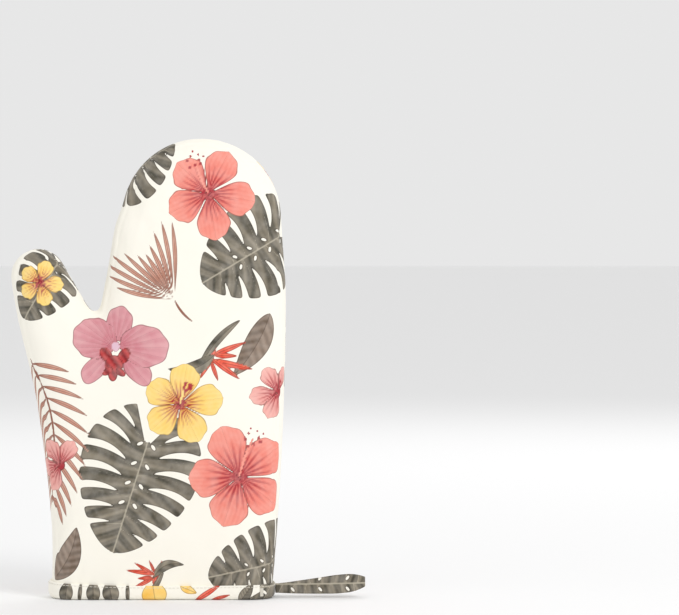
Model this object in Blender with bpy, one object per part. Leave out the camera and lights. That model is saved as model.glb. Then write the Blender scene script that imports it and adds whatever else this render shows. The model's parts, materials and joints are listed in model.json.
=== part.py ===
"""Right-hand quilted oven mitt, standing on its cuff with the fingers up.

+Z runs from the cuff to the fingertips, the printed back of the hand faces -Y,
the silicone palm faces +Y, and the thumb is on the -X side.

Every layer is a slice of the same rounded mitten form. form(inset) is the mitten
made smaller all round by inset, and a layer is one form with a smaller one cut
out of it. Lengths are in metres.
"""

import math

import bpy
from mathutils import Vector

# ---------------------------------------------------------------- outline
LENGTH = 0.330  # cuff rim to fingertips
CUFF_WIDTH = 0.159
FINGER_RADIUS = 0.058  # the round end of the finger pocket
FINGER_CENTRE_X = 0.0285
THUMB_RADIUS = 0.0205
THUMB_CENTRE = (-0.0885, 0.2305)
CROTCH_RADIUS = 0.0035  # between thumb and finger pocket
CROTCH_CENTRE = (-0.0480, 0.2085)
WRIST = (-0.0800, 0.055)  # thumb side, just above the cuff
THUMB_BALL = (-0.0904, 0.141)
THUMB_OUTER = (-0.1042, 0.201)
POCKET_SIDE = ((-0.0385, 0.240), (-0.0342, 0.266))
OUTER_SIDE = ((0.0898, 0.215), (0.0888, 0.155), (0.0856, 0.080))

# -------------------------------------------------------------- thickness
HALF_THICKNESS = 0.022  # outer fabric to mid plane, halfway up the mitt
EDGE_RADIUS = 0.018  # rounding from the flat faces into the side seam
CUFF_FULLNESS = 1.14  # share of HALF_THICKNESS at the rim
TIP_FULLNESS = 0.86  # and at the fingertips

# ------------------------------------------------------------- wall layers
OUTER_CLOTH = 0.0007
BATTING = 0.0045
LINING = 0.0010
LAYER_GAP = 0.0003
BINDING_CLOTH = 0.0008
BINDING_HEIGHT = 0.0100
GRIP_THICKNESS = 0.0016
SEAM_THICKNESS = 0.0008
THREAD = 0.0005

# ---------------------------------------------------------------- joints
KNUCKLE_Z = 0.228
THUMB_LEAN = math.radians(20)  # thumb's own direction, away from +Z
THUMB_FOLD_ABOVE_CROTCH = 0.011
FINGER_RANGE = math.radians(45)  # each folds this far towards the palm
THUMB_RANGE = math.radians(35)

# -------------------------------------------------------------- grip pads
PALM_PAD = (
    (0.0226, 0.3150), (0.0580, 0.3000), (0.0755, 0.2580), (0.0715, 0.2078), (0.0669, 0.1620),
    (0.0591, 0.1107), (0.0360, 0.0900), (0.0040, 0.1180), (-0.0200, 0.1720), (-0.0284, 0.2300),
    (-0.0180, 0.2860),
)
THUMB_PAD = (
    (-0.0910, 0.2230), (-0.0740, 0.2150), (-0.0630, 0.1930), (-0.0640, 0.1600), (-0.0800, 0.1310),
    (-0.0895, 0.1520), (-0.0970, 0.1800), (-0.1032, 0.2100),
)

# ------------------------------------------------------------ hanging loop
LOOP_LENGTH = 0.062
TAPE_WIDTH = 0.0105
TAPE_THICKNESS = 0.0009
LOOP_HALF_GAP = 0.0034  # mid plane to the inside of each ply
LOOP_RISE = math.radians(4.5)
LOOP_HEIGHT = 0.0066  # middle of the tape at its root, above the rim's foot
LOOP_CLEARANCE = 0.0027  # stitches to the joint axis; the binding leans out towards its top
LOOP_TAPER = 4  # the plies spread over this many times their final half gap
TACK_WIDTH = 0.0022

# ---------------------------------------------------------------- meshing
BELOW_RIM = 0.060  # how far every form runs on below the rim, before it is cut
SIDE_STEP = 0.014
PAD_STEPS = 4
REACH = 0.400  # larger than the mitt, for half-space cutters

BATTING_FACE = OUTER_CLOTH + LAYER_GAP
LINING_FACE = BATTING_FACE + BATTING + LAYER_GAP
WALL = LINING_FACE + LINING
RIM_FOOT = BINDING_CLOTH + LAYER_GAP  # where the layers end, inside the binding
BINDING_FACE = BINDING_CLOTH + LAYER_GAP
SPLIT = SEAM_THICKNESS / 2 + LAYER_GAP  # where the front and back halves begin


# ------------------------------------------------------------ scene set-up
def clear_scene():
    for obj in list(bpy.data.objects):
        bpy.data.objects.remove(obj, do_unlink=True)


def new_collection(name):
    collection = bpy.data.collections.new(name)
    bpy.context.scene.collection.children.link(collection)
    return collection


clear_scene()
mitt = new_collection("oven_mitt")
cutters = new_collection("cutters")
origin = bpy.data.objects.new("mitt_origin", None)
mitt.objects.link(origin)


def material(name, colour, roughness):
    made = bpy.data.materials.new(name)
    made.use_nodes = True
    shader = made.node_tree.nodes["Principled BSDF"]
    shader.inputs["Base Color"].default_value = (*colour, 1.0)
    shader.inputs["Roughness"].default_value = roughness
    shader.inputs["Metallic"].default_value = 0.0
    return made


PRINTED_CLOTH = material("printed_cloth", (0.93, 0.90, 0.80), 0.85)
WADDING = material("wadding", (0.88, 0.87, 0.84), 0.95)
LINING_CLOTH = material("lining_cloth", (0.80, 0.78, 0.73), 0.90)
SILICONE = material("grip_silicone", (0.13, 0.135, 0.145), 0.45)
SEWING_THREAD = material("sewing_thread", (0.90, 0.87, 0.76), 0.80)


# ---------------------------------------------------------------- outline
def arc(centre, radius, start, end, steps):
    """Points on an arc, with its angles in degrees from +X towards +Z."""
    points = []
    for i in range(steps + 1):
        angle = math.radians(start + (end - start) * i / steps)
        points.append(Vector((centre[0] + radius * math.cos(angle), centre[1] + radius * math.sin(angle))))
    return points


def through(keys, steps=0, closed_loop=False):
    """A smooth curve through keys: round and round, or with its ends straight on towards the next key."""
    keys = [Vector(key) for key in keys]
    padded = [2 * keys[0] - keys[1], *keys, 2 * keys[-1] - keys[-2]]
    if closed_loop:
        padded = [keys[-1], *keys, keys[0], keys[1]]
    points = [keys[0]]
    for before, start, end, after in zip(padded, padded[1:], padded[2:], padded[3:]):
        span = (end - start).length
        leave = (end - before) * span / ((end - start).length + (start - before).length)
        arrive = (after - start) * span / ((after - end).length + (end - start).length)
        count = steps or max(1, round(span / SIDE_STEP))
        for i in range(1, count + 1):
            t = i / count
            points.append(
                start * (2 * t**3 - 3 * t**2 + 1) + leave * (t**3 - 2 * t**2 + t)
                + end * (3 * t**2 - 2 * t**3) + arrive * (t**3 - t**2)
            )
    return points


def mitten_outline():
    """The side seam in XZ, from the thumb side of the cuff over the fingers to the other side."""
    half_cuff = CUFF_WIDTH / 2
    finger_centre = (FINGER_CENTRE_X, LENGTH - FINGER_RADIUS)
    thumb = arc(THUMB_CENTRE, THUMB_RADIUS, 188, 33, 7)
    crotch = arc(CROTCH_CENTRE, CROTCH_RADIUS, 214, 344, 3)
    fingers = arc(finger_centre, FINGER_RADIUS, 170, 4, 9)
    points = [Vector((-half_cuff, -BELOW_RIM))]
    points += through([(-half_cuff, 0), WRIST, THUMB_BALL, THUMB_OUTER, thumb[0]])
    points += thumb[1:]
    points += crotch
    points += through([crotch[-1], *POCKET_SIDE, fingers[0]])[1:]
    points += fingers[1:]
    points += through([fingers[-1], *OUTER_SIDE, (half_cuff, 0)])[1:]
    points.append(Vector((half_cuff, -BELOW_RIM)))
    return points


def inset_outline(points, inset):
    """The outline moved inwards by inset, square to each of its sides."""
    moved = []
    for i, point in enumerate(points):
        before = (point - points[i - 1]).normalized()
        after = (points[(i + 1) % len(points)] - point).normalized()
        inward = Vector((before.y + after.y, -before.x - after.x)).normalized()
        moved.append(point + inward * inset / max(0.5, inward.dot(Vector((after.y, -after.x)))))
    return moved


# ------------------------------------------------------------ solid makers
def add(name, data, collection):
    obj = bpy.data.objects.new(name, data)
    collection.objects.link(obj)
    obj.parent = origin
    if collection is cutters:
        obj.hide_render = True
        obj.display_type = "WIRE"
    return obj


def plate(name, outline, half_thickness, edge_radius, collection=cutters):
    """A flat outline in XZ, thick along Y, with its edges rounded by edge_radius, as a closed mesh."""
    curve = bpy.data.curves.new(name, "CURVE")
    curve.dimensions = "2D"
    curve.fill_mode = "BOTH"
    curve.extrude = half_thickness - edge_radius
    curve.bevel_depth = edge_radius
    curve.bevel_resolution = 2
    curve.offset = -edge_radius
    spline = curve.splines.new("POLY")
    spline.points.add(len(outline) - 1)
    for place, point in zip(spline.points, outline):
        place.co = (point[0], point[1], 0, 1)
    spline.use_cyclic_u = True
    flat = add(name, curve, collection)
    bpy.context.view_layer.update()
    graph = bpy.context.evaluated_depsgraph_get()
    mesh = bpy.data.meshes.new_from_object(flat.evaluated_get(graph))
    bpy.data.objects.remove(flat, do_unlink=True)
    for vertex in mesh.vertices:
        x, z, y = vertex.co
        vertex.co = (x, -y, z)
    return add(name, closed(mesh), collection)


def closed(mesh):
    """The mesh with its loose caps welded on and its faces pointing out."""
    import bmesh

    work = bmesh.new()
    work.from_mesh(mesh)
    bmesh.ops.remove_doubles(work, verts=work.verts, dist=1e-6)
    bmesh.ops.recalc_face_normals(work, faces=work.faces)
    work.to_mesh(mesh)
    work.free()
    return mesh


def fullness(z):
    """The mitt's thickness at height z, as a share of what HALF_THICKNESS gives."""
    return CUFF_FULLNESS + (TIP_FULLNESS - CUFF_FULLNESS) * z / LENGTH


def form(name, inset, collection=cutters):
    """The whole mitten, smaller all round by inset, running on below the rim."""
    outline = inset_outline(mitten_outline(), inset)
    made = plate(name, outline, HALF_THICKNESS - inset, EDGE_RADIUS - inset, collection)
    for vertex in made.data.vertices:
        vertex.co.y *= fullness(vertex.co.z)
    return made


def box(name, low, high):
    """A box-shaped cutter between two corners."""
    low, high = Vector(low), Vector(high)
    bpy.ops.mesh.primitive_cube_add(size=1)
    cube = bpy.context.object
    for vertex in cube.data.vertices:
        vertex.co = [a + (b - a) * (c + 0.5) for a, b, c in zip(low, high, vertex.co)]
    mesh = cube.data
    bpy.data.objects.remove(cube, do_unlink=True)
    return add(name, mesh, cutters)


def boolean(obj, operation, other):
    modifier = obj.modifiers.new(f"{operation.lower()}_{other.name}", "BOOLEAN")
    modifier.operation = operation
    modifier.solver = "EXACT"
    modifier.object = other


def layer(name, outer_inset, thickness, finish, *keep):
    """The stretch of wall from outer_inset inwards, kept only inside every cutter in keep."""
    made = form(name, outer_inset, mitt)
    boolean(made, "DIFFERENCE", form(f"{name}_core", outer_inset + thickness))
    for cutter in keep:
        boolean(made, "INTERSECT", cutter)
    made.data.materials.append(finish)
    return made


def pivot(name, place, axis):
    """An empty on a joint's axis, with its own Z along the axis."""
    empty = bpy.data.objects.new(name, None)
    mitt.objects.link(empty)
    empty.parent = origin
    empty.location = place
    empty.rotation_mode = "QUATERNION"
    empty.rotation_quaternion = Vector(axis).to_track_quat("Z", "Y")
    return empty


def hang_on(piece, empty):
    """Parents piece to a joint's empty, and leaves it in its place."""
    bpy.context.view_layer.update()
    world = piece.matrix_world.copy()
    piece.parent = empty
    piece.matrix_parent_inverse = empty.matrix_world.inverted() @ origin.matrix_world
    piece.matrix_world = world


# ------------------------------------------------------------ where it folds
def thumb_fold():
    """A point on the thumb's fold, and the thumb's own direction there."""
    along = Vector((-math.sin(THUMB_LEAN), 0, math.cos(THUMB_LEAN)))
    crotch = Vector((CROTCH_CENTRE[0], 0, CROTCH_CENTRE[1]))
    return crotch + along * THUMB_FOLD_ABOVE_CROTCH, along


def beyond_fold(name, place, lean, tilt, margin, low_x, high_x):
    """A cutter for all that is past a fold, with its face leaning by lean and tilted about the fold."""
    made = box(name, (low_x, -REACH, margin), (high_x, REACH, REACH))
    made.location = place
    made.rotation_euler = (tilt, lean, 0)
    return made


def half_spaces():
    """Cutters that keep the front half, the back half and everything above the rim's foot."""
    front = box("front_half", (-REACH, -REACH, RIM_FOOT), (REACH, -SPLIT, REACH))
    palm = box("palm_half", (-REACH, SPLIT, RIM_FOOT), (REACH, REACH, REACH))
    return front, palm


def thumb_region(name, tilt, margin):
    """Past the thumb's fold, and right as far as the middle of the crotch."""
    fold, along = thumb_fold()
    return beyond_fold(name, fold, math.atan2(along.x, along.z), tilt, margin, -REACH, CROTCH_RADIUS)


def finger_region(name, tilt, margin):
    """Past the knuckles, and right of the crotch."""
    place = Vector((CROTCH_CENTRE[0], 0, KNUCKLE_Z))
    return beyond_fold(name, place, 0, tilt, margin, 0, REACH)


# ----------------------------------------------------------------- the mitt
def make_layers(front, palm):
    """Outer cloth and lining: each is one panel for the back of the hand and one for the palm."""
    layer("outer_back_panel", 0, OUTER_CLOTH, PRINTED_CLOTH, front)
    layer("outer_palm_panel", 0, OUTER_CLOTH, PRINTED_CLOTH, palm)
    layer("lining_back_panel", LINING_FACE, LINING, LINING_CLOTH, front)
    layer("lining_palm_panel", LINING_FACE, LINING, LINING_CLOTH, palm)


def make_batting(front, palm, finger_pivot, thumb_pivot):
    """The wadding, in a hand, a finger and a thumb part on each side.

    On the palm side both folds are open by a wedge, which closes at the end of the joint's range.
    """
    gap = LAYER_GAP / 2
    for side, half, share in (("back", front, 0), ("palm", palm, 0.5)):
        finger_tilt = FINGER_RANGE * share
        thumb_tilt = THUMB_RANGE * share
        hand = layer(f"batting_{side}_hand", BATTING_FACE, BATTING, WADDING, half)
        boolean(hand, "DIFFERENCE", thumb_region(f"{side}_not_thumb", -thumb_tilt, -gap))
        boolean(hand, "DIFFERENCE", finger_region(f"{side}_not_fingers", -finger_tilt, -gap))
        fingers = finger_region(f"{side}_fingers_only", finger_tilt, gap)
        thumb = thumb_region(f"{side}_thumb_only", thumb_tilt, gap)
        hang_on(layer(f"batting_{side}_fingers", BATTING_FACE, BATTING, WADDING, half, fingers), finger_pivot)
        hang_on(layer(f"batting_{side}_thumb", BATTING_FACE, BATTING, WADDING, half, thumb), thumb_pivot)


def make_seam():
    """The sewn seam allowances of all the layers, between the two halves."""
    between = box(
        "seam_slice", (-REACH, -SEAM_THICKNESS / 2, RIM_FOOT), (REACH, SEAM_THICKNESS / 2, REACH)
    )
    layer("side_seam", LAYER_GAP, WALL - LAYER_GAP, SEWING_THREAD, between)


def make_binding():
    """The tape folded over the rim: an outer leg, a foot and an inner leg, with the layers in between."""
    rim = box("binding_band", (-REACH, -REACH, 0), (REACH, REACH, BINDING_HEIGHT))
    binding = layer("cuff_binding", -BINDING_FACE, WALL + 2 * BINDING_FACE, PRINTED_CLOTH, rim)
    held = form("held_layers", -LAYER_GAP)
    boolean(held, "DIFFERENCE", form("held_core", WALL + LAYER_GAP))
    boolean(held, "INTERSECT", box("above_foot", (-REACH, -REACH, BINDING_CLOTH), (REACH, REACH, REACH)))
    boolean(binding, "DIFFERENCE", held)
    stitch_z = BINDING_HEIGHT - 3 * THREAD
    row = box("stitch_row", (-REACH, -REACH, stitch_z), (REACH, REACH, stitch_z + THREAD))
    layer("binding_stitch", -BINDING_FACE - LAYER_GAP - THREAD, THREAD, SEWING_THREAD, row)


def make_grips(palm):
    """The two silicone pads, which follow the round of the palm panel."""
    for name, keys in (("palm_grip", PALM_PAD), ("thumb_grip", THUMB_PAD)):
        outline = through(keys, PAD_STEPS, closed_loop=True)[:-1]
        prism = plate(f"{name}_prism", outline, REACH, 0)
        layer(name, -LAYER_GAP - GRIP_THICKNESS, GRIP_THICKNESS, SILICONE, palm, prism)


def loop_root():
    """The point on the little-finger side of the binding that the loop is sewn to."""
    return Vector((CUFF_WIDTH / 2 + BINDING_FACE + THREAD + LOOP_CLEARANCE, 0, LOOP_HEIGHT))


def make_loop():
    """A tape folded double: two plies, a round fold far out, and its ends sewn together round the axis."""
    curve = bpy.data.curves.new("hanging_loop", "CURVE")
    curve.dimensions = "2D"
    curve.fill_mode = "BOTH"
    curve.extrude = TAPE_WIDTH / 2
    sewn_ends = arc((0, 0), TAPE_THICKNESS, 90, 270, 6)
    eye_start = 4 * TAPE_THICKNESS
    eye_corner = [Vector((eye_start, TAPE_THICKNESS / 2)), Vector((eye_start, -TAPE_THICKNESS / 2))]
    for half_gap, root, end in (
        (LOOP_HALF_GAP + TAPE_THICKNESS, sewn_ends, LOOP_LENGTH),
        (LOOP_HALF_GAP, eye_corner, LOOP_LENGTH - TAPE_THICKNESS),
    ):
        spread = LOOP_TAPER * LOOP_HALF_GAP
        tip = arc((end - half_gap, 0), half_gap, -90, 90, 8)
        points = [*root, (spread, -half_gap), *tip, (spread, half_gap)]
        spline = curve.splines.new("POLY")
        spline.points.add(len(points) - 1)
        for place, point in zip(spline.points, points):
            place.co = (point[0], point[1], 0, 1)
        spline.use_cyclic_u = True
    flat = add("hanging_loop", curve, mitt)
    bpy.context.view_layer.update()
    graph = bpy.context.evaluated_depsgraph_get()
    mesh = bpy.data.meshes.new_from_object(flat.evaluated_get(graph))
    bpy.data.objects.remove(flat, do_unlink=True)
    mesh.materials.append(PRINTED_CLOTH)
    swing = pivot("loop_swing", loop_root(), (0, 0, 1))
    loop = add("hanging_loop", closed(mesh), mitt)
    loop.location = loop_root()
    loop.rotation_euler = (0, -LOOP_RISE, 0)
    hang_on(loop, swing)


def make_tack():
    """The bar of close stitches that holds the loop's ends to the binding."""
    right = CUFF_WIDTH / 2 - EDGE_RADIUS / 3
    high = BINDING_HEIGHT - 3 * THREAD - LAYER_GAP
    place = box("tack_place", (right - TACK_WIDTH, -REACH, high / 3), (right, 0, high))
    layer("loop_tack", -BINDING_FACE - LAYER_GAP - THREAD, THREAD, SEWING_THREAD, place)


def centre_on_base():
    """Moves the mitt so that the frame's origin is the middle of the foot of its bounding box."""
    bpy.context.view_layer.update()
    graph = bpy.context.evaluated_depsgraph_get()
    corners = []
    for obj in mitt.objects:
        if obj.type == "MESH":
            evaluated = obj.evaluated_get(graph)
            corners += [evaluated.matrix_world @ vertex.co for vertex in evaluated.data.vertices]
    for axis in (0, 1):
        values = [corner[axis] for corner in corners]
        origin.location[axis] = -(min(values) + max(values)) / 2
    origin.location.z = -min(corner.z for corner in corners)


def main():
    front, palm = half_spaces()
    fold, along = thumb_fold()
    finger_pivot = pivot("finger_flex", (FINGER_CENTRE_X, 0, KNUCKLE_Z), (-1, 0, 0))
    thumb_pivot = pivot("thumb_flex", fold, (-along.z, 0, along.x))
    make_layers(front, palm)
    make_batting(front, palm, finger_pivot, thumb_pivot)
    make_seam()
    make_binding()
    make_grips(palm)
    make_loop()
    make_tack()
    centre_on_base()


main()
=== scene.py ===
import json
import math

import bmesh
import bpy
import numpy as np
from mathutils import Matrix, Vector
from mathutils.bvhtree import BVHTree


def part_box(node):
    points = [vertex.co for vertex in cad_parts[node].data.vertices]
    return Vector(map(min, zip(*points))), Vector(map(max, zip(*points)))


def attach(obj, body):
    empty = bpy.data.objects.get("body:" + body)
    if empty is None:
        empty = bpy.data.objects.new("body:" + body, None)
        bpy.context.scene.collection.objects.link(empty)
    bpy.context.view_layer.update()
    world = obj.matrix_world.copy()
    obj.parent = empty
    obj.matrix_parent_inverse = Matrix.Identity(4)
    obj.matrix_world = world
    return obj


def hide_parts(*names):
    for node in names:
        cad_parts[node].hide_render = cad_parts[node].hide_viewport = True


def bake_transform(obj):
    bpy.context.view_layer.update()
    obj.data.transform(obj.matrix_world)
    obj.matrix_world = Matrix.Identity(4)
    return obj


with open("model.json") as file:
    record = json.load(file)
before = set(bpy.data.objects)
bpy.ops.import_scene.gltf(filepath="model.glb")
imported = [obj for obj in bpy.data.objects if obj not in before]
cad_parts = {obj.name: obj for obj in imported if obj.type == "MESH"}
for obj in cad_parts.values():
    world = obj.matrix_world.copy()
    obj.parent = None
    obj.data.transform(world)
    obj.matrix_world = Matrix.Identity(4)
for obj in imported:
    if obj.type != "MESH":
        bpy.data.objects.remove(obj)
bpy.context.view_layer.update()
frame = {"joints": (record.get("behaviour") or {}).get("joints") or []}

MM = 0.001

# The mitt's own centre line, from the cuff binding. Print and outlines are laid out from it.
RING_LOW, RING_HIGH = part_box("cuff_binding")
CENTRE_X = (RING_LOW[0] + RING_HIGH[0]) / 2
PANEL_LOW, PANEL_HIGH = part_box("outer_back_panel")
TOP_Z = PANEL_HIGH[2]
RING_HALF_DEPTH = RING_HIGH[1]
BINDING_TOP = RING_HIGH[2]

CROTCH = Vector((CENTRE_X - 48 * MM, 0, 205.5 * MM))
THUMB_LEAN = math.radians(20)
THUMB_ALONG = Vector((-math.sin(THUMB_LEAN), 0, math.cos(THUMB_LEAN)))


# ------------------------------------------------------------------ camera and studio
def add_object(name, data):
    obj = bpy.data.objects.new(name, data)
    bpy.context.scene.collection.objects.link(obj)
    return obj


def set_camera():
    """Square on to the back of the hand, with the mitt in the left of the view."""
    width = 0.487
    distance = 3.2
    aim = Vector((CENTRE_X + 0.1275, 0, 0.2080))
    tilt = math.radians(1.5)
    data = bpy.data.cameras.new("camera")
    data.sensor_width = 36
    data.lens = 36 * distance / width
    camera = add_object("camera", data)
    camera.location = aim + Vector((0, -math.cos(tilt), math.sin(tilt))) * distance
    camera.rotation_euler = (math.pi / 2 - tilt, 0, 0)
    bpy.context.scene.camera = camera


def area_light(name, place, aim, size, power, tint=(1, 1, 1)):
    data = bpy.data.lights.new(name, "AREA")
    data.size = size
    data.energy = power
    data.color = tint
    light = add_object(name, data)
    light.location = place
    light.rotation_euler = (Vector(aim) - Vector(place)).to_track_quat("-Z", "Y").to_euler()


def set_studio():
    """A plain white floor, one big soft light up to the right and a weak one to the left."""
    mesh = bpy.data.meshes.new("floor")
    bm = bmesh.new()
    bmesh.ops.create_grid(bm, x_segments=1, y_segments=1, size=14)
    bm.to_mesh(mesh)
    bm.free()
    floor = add_object("floor", mesh)
    paper = bpy.data.materials.new("studio_paper")
    paper.use_nodes = True
    shader = paper.node_tree.nodes["Principled BSDF"]
    shader.inputs["Base Color"].default_value = (0.94, 0.94, 0.94, 1)
    shader.inputs["Roughness"].default_value = 0.9
    shader.inputs["Specular IOR Level"].default_value = 0.1
    mesh.materials.append(paper)
    world = bpy.data.worlds.new("studio")
    world.use_nodes = True
    world.node_tree.nodes["Background"].inputs["Color"].default_value = (1, 1, 1, 1)
    world.node_tree.nodes["Background"].inputs["Strength"].default_value = 0.80
    bpy.context.scene.world = world
    area_light("key_light", (1.3, -1.9, 1.7), (0, 0, 0.15), 0.9, 20)
    area_light("fill_light", (-1.6, -1.5, 0.9), (0, 0, 0.15), 1.6, 1.5)
    area_light("rim_light", (0.6, 1.9, 1.6), (0, 0, 0.15), 1.4, 9)
    bpy.context.scene.view_settings.view_transform = "Standard"


# ------------------------------------------------------------------ outline
def arc(centre, radius, start, end, steps):
    angles = np.radians(np.linspace(start, end, steps + 1))
    return np.column_stack([centre[0] + radius * np.cos(angles), centre[1] + radius * np.sin(angles)])


def smooth_line(keys, steps, closed_loop=False):
    """A smooth curve through keys, with steps pieces to each stretch."""
    keys = np.array(keys, float)
    if closed_loop:
        padded = np.vstack([keys[-1], keys, keys[0], keys[1]])
    else:
        padded = np.vstack([2 * keys[0] - keys[1], keys, 2 * keys[-1] - keys[-2]])
    points = []
    t = (np.arange(steps) / steps)[:, None]
    for before, start, end, after in zip(padded, padded[1:], padded[2:], padded[3:]):
        span = np.linalg.norm(end - start)
        leave = (end - before) * span / (span + np.linalg.norm(start - before))
        arrive = (after - start) * span / (np.linalg.norm(after - end) + span)
        points.append(
            start * (2 * t**3 - 3 * t**2 + 1) + leave * (t**3 - 2 * t**2 + t)
            + end * (3 * t**2 - 2 * t**3) + arrive * (t**3 - t**2)
        )
    if not closed_loop:
        points.append(keys[-1:])
    return np.vstack(points)


def mitten_outline(low):
    """The side seam, in mm from the cuff's centre, from the thumb side of the cuff round to the other."""
    thumb = arc((-88.5, 230.5), 20.5, 188, 33, 28)
    crotch = arc((-48.0, 208.5), 3.5, 214, 344, 10)
    fingers = arc((28.5, 272.0), 58.0, 170, 4, 40)
    left = smooth_line([(-79.5, 0), (-80, 55), (-90.4, 141), (-104.2, 201), thumb[0]], 12)
    pocket = smooth_line([crotch[-1], (-38.5, 240), (-34.2, 266), fingers[0]], 8)
    right = smooth_line([fingers[-1], (89.8, 215), (88.8, 155), (85.6, 80), (79.5, 0)], 12)
    ends = [[(-79.5, low)], left, thumb[1:], crotch, pocket[1:], fingers[1:], right[1:], [(79.5, low)]]
    return np.vstack(ends)


def distance_inside(points, outline):
    """How far each point is inside a closed outline: negative outside."""
    start = outline
    end = np.roll(outline, -1, axis=0)
    nearest = np.full(len(points), 1e9)
    crossings = np.zeros(len(points), int)
    for a, b in zip(start, end):
        along = b - a
        t = np.clip(((points - a) @ along) / (along @ along), 0, 1)
        offset = points - a - t[:, None] * along
        nearest = np.minimum(nearest, (offset**2).sum(1))
        if a[1] != b[1]:
            spans = (points[:, 1] < a[1]) != (points[:, 1] < b[1])
            x = a[0] + (points[:, 1] - a[1]) * along[0] / along[1]
            crossings += spans & (x > points[:, 0])
    return np.where(crossings % 2 == 1, 1, -1) * np.sqrt(nearest)


# ------------------------------------------------------------------ mesh helpers
def coordinates(mesh):
    flat = np.empty(len(mesh.vertices) * 3, np.float32)
    mesh.vertices.foreach_get("co", flat)
    return flat.reshape(-1, 3).astype(float)


def set_coordinates(mesh, places):
    mesh.vertices.foreach_set("co", np.asarray(places, np.float32).ravel())
    mesh.update()


def normals(mesh):
    flat = np.empty(len(mesh.vertices) * 3, np.float32)
    mesh.vertices.foreach_get("normal", flat)
    return flat.reshape(-1, 3).astype(float)


def smooth(mesh):
    mesh.polygons.foreach_set("use_smooth", [True] * len(mesh.polygons))
    mesh.update()
    return mesh


def applied(obj):
    """obj's mesh with all its modifiers in it."""
    bpy.context.view_layer.update()
    graph = bpy.context.evaluated_depsgraph_get()
    return bpy.data.meshes.new_from_object(obj.evaluated_get(graph))


def apply_all(obj):
    mesh = applied(obj)
    obj.modifiers.clear()
    obj.data = mesh
    return obj


def finished(name, bm, finish):
    """A piece from a bmesh, smooth-shaded, in one material."""
    mesh = bpy.data.meshes.new(name)
    bm.to_mesh(mesh)
    bm.free()
    mesh.materials.clear()
    mesh.materials.append(finish)
    return add_object(name, smooth(mesh))


def store(mesh, name, values, kind="FLOAT"):
    attribute = mesh.attributes.new(name, kind, "POINT")
    if kind == "FLOAT":
        attribute.data.foreach_set("value", np.asarray(values, np.float32))
    else:
        rgba = np.column_stack([values, np.ones(len(values))]).astype(np.float32)
        attribute.data.foreach_set("color", rgba.ravel())


# ------------------------------------------------------------------ the padded body
def fullness(z):
    """Half the mitt's depth at height z, fullest at the open cuff."""
    share = np.clip(z / TOP_Z, 0, 1)
    return (RING_HALF_DEPTH - 2.2 * MM) * (1 - 0.30 * share**1.2)


def slab(name, inset, depth, rounding):
    """A closed mitten-shaped slab, with its rim running on below the cuff."""
    outline = mitten_outline(-24) * MM
    curve = bpy.data.curves.new(name, "CURVE")
    curve.dimensions = "2D"
    curve.fill_mode = "BOTH"
    curve.extrude = depth - rounding
    curve.bevel_depth = rounding
    curve.bevel_resolution = 4
    curve.offset = -rounding - inset
    spline = curve.splines.new("POLY")
    spline.points.add(len(outline) - 1)
    for place, point in zip(spline.points, outline):
        place.co = (point[0] + CENTRE_X, point[1], 0, 1)
    spline.use_cyclic_u = True
    obj = add_object(name, curve)
    mesh = applied(obj)
    bpy.data.objects.remove(obj)
    places = coordinates(mesh)
    places = np.column_stack([places[:, 0], -places[:, 2], places[:, 1]])
    set_coordinates(mesh, places)
    bm = bmesh.new()
    bm.from_mesh(mesh)
    bmesh.ops.remove_doubles(bm, verts=bm.verts, dist=1e-6)
    bmesh.ops.recalc_face_normals(bm, faces=bm.faces)
    bm.to_mesh(mesh)
    bm.free()
    return add_object(name, mesh)


def remesh(obj, voxel):
    modifier = obj.modifiers.new("even_grid", "REMESH")
    modifier.mode = "VOXEL"
    modifier.voxel_size = voxel
    return apply_all(obj)


def puff(obj, cap):
    """Blows the padding up against its cloth, held along the side seam and round the cuff."""
    mesh = obj.data
    rest = coordinates(mesh)
    outline = mitten_outline(-24) * MM
    inside = distance_inside((rest[:, [0, 2]] - (CENTRE_X, 0)), outline)
    held = np.clip(1 - inside / (5 * MM), 0, 1)
    held = np.maximum(held, np.clip(1 - (rest[:, 2] - 9 * MM) / (14 * MM), 0, 1))
    group = obj.vertex_groups.new(name="sewn")
    for index, weight in enumerate(held):
        group.add([index], float(weight), "REPLACE")
    cloth = obj.modifiers.new("padding", "CLOTH")
    cloth.settings.quality = 4
    cloth.settings.mass = 0.35
    cloth.settings.tension_stiffness = 20
    cloth.settings.compression_stiffness = 20
    cloth.settings.shear_stiffness = 8
    cloth.settings.bending_stiffness = 3
    cloth.settings.use_pressure = True
    cloth.settings.uniform_pressure_force = 4
    cloth.settings.vertex_group_mass = "sewn"
    cloth.settings.pin_stiffness = 1
    cloth.settings.effector_weights.gravity = 0
    cloth.collision_settings.use_collision = False
    scene = bpy.context.scene
    for step in range(1, 21):
        scene.frame_set(step)
    moved = coordinates(applied(obj)) - rest
    obj.modifiers.clear()
    scene.frame_set(1)
    length = np.linalg.norm(moved, axis=1)
    limit = cap * np.tanh(length / cap) / np.maximum(length, 1e-9)
    set_coordinates(mesh, rest + moved * limit[:, None])
    return obj


def crease(obj, depth, reach):
    """Draws the cloth in along the side seam and in the crook of the thumb."""
    mesh = obj.data
    places = coordinates(mesh)
    out = normals(mesh)
    along = np.arctan2(places[:, 2] - 0.12, places[:, 0] - CENTRE_X) * 140
    pucker = 1 + 0.22 * np.sin(along)
    pull = depth * pucker * np.exp(-((places[:, 1] / reach) ** 2))
    set_coordinates(mesh, places - out * pull[:, None])
    return obj


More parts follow.
